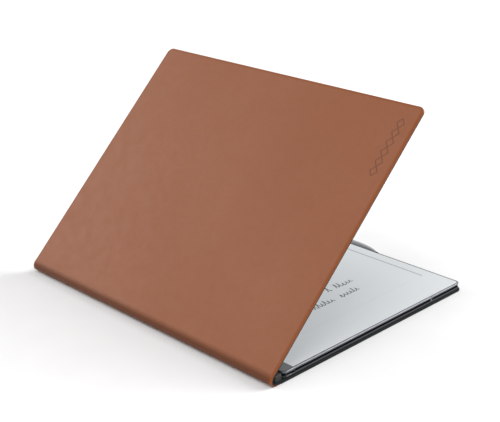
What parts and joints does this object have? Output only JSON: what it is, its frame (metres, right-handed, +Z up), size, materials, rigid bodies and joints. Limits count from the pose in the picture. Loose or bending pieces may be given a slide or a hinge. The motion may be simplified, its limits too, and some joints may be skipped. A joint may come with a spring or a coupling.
{
  "type": "e-paper writing tablet in a book folio",
  "caption": "Thin e-paper writing tablet held by magnets in a leather book folio whose cover folds open over the screen, with a stylus on the long edge.",
  "frame": {"origin": "centre of the folio footprint, on the surface it lies on", "axes": "+X from the spine to the free edge, +Y to the top of the page, +Z up out of the screen"},
  "size_m": [0.2059, 0.2482, 0.1481],
  "materials": {
    "leather": "smooth full-grain cognac leather, fine grain, satin",
    "cover_core": "dark stiffener with a soft matt edge",
    "lining": "fine dark microfibre",
    "spine_bar": "dark warm grey, soft satin",
    "magnet": "nickel plated",
    "screen": "matt etched screen glass over an e-paper panel",
    "adhesive": "clear soft bonding layer",
    "epaper": "e-paper film on glass",
    "circuit_board": "solder mask",
    "thin_aluminium": "bare sheet",
    "frame_metal": "fine bead-blasted, anodised",
    "band": "dark grey anodised, bead-blasted",
    "groove": "black, satin",
    "antenna_break": "light grey",
    "rear_shell": "dark grey, fine matt",
    "rubber": "soft, matt",
    "gold_contact": "gold flashed",
    "battery_foil": "pouch foil",
    "flex": "amber polyimide",
    "steel": "thin pressed steel",
    "chip": "black moulding",
    "cable_jacket": "black jacket",
    "button": "anodised",
    "marker_shell": "light grey, fine satin texture",
    "ferrite": "sintered",
    "copper": "enamelled copper wire",
    "marker_carrier": "moulded",
    "nib": "hard felt-like plastic"
  },
  "bodies": {
    "back_cover": {"back_cover_leather": "leather", "back_cover_board": "cover_core", "back_cover_lining": "lining", "back_cover_magnets": "magnet", "spine_bar": "spine_bar", "spine_bar_magnets": "magnet"},
    "spine": {"spine_leather": "leather", "spine_board": "cover_core", "spine_lining": "lining"},
    "front_cover": {"front_cover_leather": "leather", "front_cover_board": "cover_core", "front_cover_lining": "lining", "front_cover_magnet": "magnet"},
    "tablet": {"cover_glass": "screen", "glass_adhesive": "adhesive", "epaper_panel": "epaper", "digitizer_board": "circuit_board", "support_plate": "thin_aluminium", "side_frame": "frame_metal", "left_band": "band", "groove_band": "groove", "antenna_breaks": "antenna_break", "rear_cover": "rear_shell", "rear_cover_adhesive": "adhesive", "rear_feet": "rubber", "accessory_contacts": "gold_contact", "battery_cells": "battery_foil", "battery_tape": "adhesive", "battery_board": "circuit_board", "battery_cable": "flex", "power_switch": "chip", "power_flex_cable": "flex", "main_board": "circuit_board", "board_screws": "steel", "shield_can_processor": "steel", "shield_can_radio": "steel", "processor_chip": "chip", "memory_chip": "chip", "thermal_pad": "rubber", "wifi_antenna": "flex", "antenna_cable": "cable_jacket", "usb_connector_shell": "steel", "usb_tongue": "chip", "display_flex_cable": "flex", "digitizer_flex_cable": "flex", "folio_hold_magnets": "magnet", "marker_hold_magnets": "magnet"},
    "power_button": {"power_button": "button"},
    "marker": {"marker_barrel": "marker_shell", "marker_nose": "marker_shell", "marker_end_cap": "marker_shell", "marker_ferrite": "ferrite", "marker_coil": "copper", "marker_pressure_sensor": "chip", "marker_inner_frame": "marker_carrier", "marker_board": "circuit_board", "marker_magnets": "magnet"},
    "nib": {"nib": "nib", "nib_holder": "marker_carrier"}
  },
  "joints": [
    {"name": "spine_fold", "type": "hinge", "parent": "back_cover", "child": "spine", "pos_m": [-0.09815, 0, 0.0016], "axis": [0, -1, 0], "range_deg": [0, 179.5]},
    {"name": "cover_fold", "type": "hinge", "parent": "spine", "child": "front_cover", "pos_m": [-0.09865, 0, 0.0074], "axis": [0, -1, 0], "range_deg": [-44.9, 135.1]},
    {"name": "tablet_slide", "type": "slide", "parent": "back_cover", "child": "tablet", "axis": [1, 0, 0], "range_m": [0, 0.2]},
    {"name": "power_button_press", "type": "slide", "parent": "tablet", "child": "power_button", "axis": [0, -1, 0], "range_m": [0, 0.00035], "stiffness_N_per_m": 4000},
    {"name": "marker_slide", "type": "slide", "parent": "tablet", "child": "marker", "axis": [1, 0, 0], "range_m": [0, 0.03]},
    {"name": "nib_press", "type": "slide", "parent": "marker", "child": "nib", "axis": [0, 1, 0], "range_m": [0, 0.0003], "stiffness_N_per_m": 2000}
  ]
}
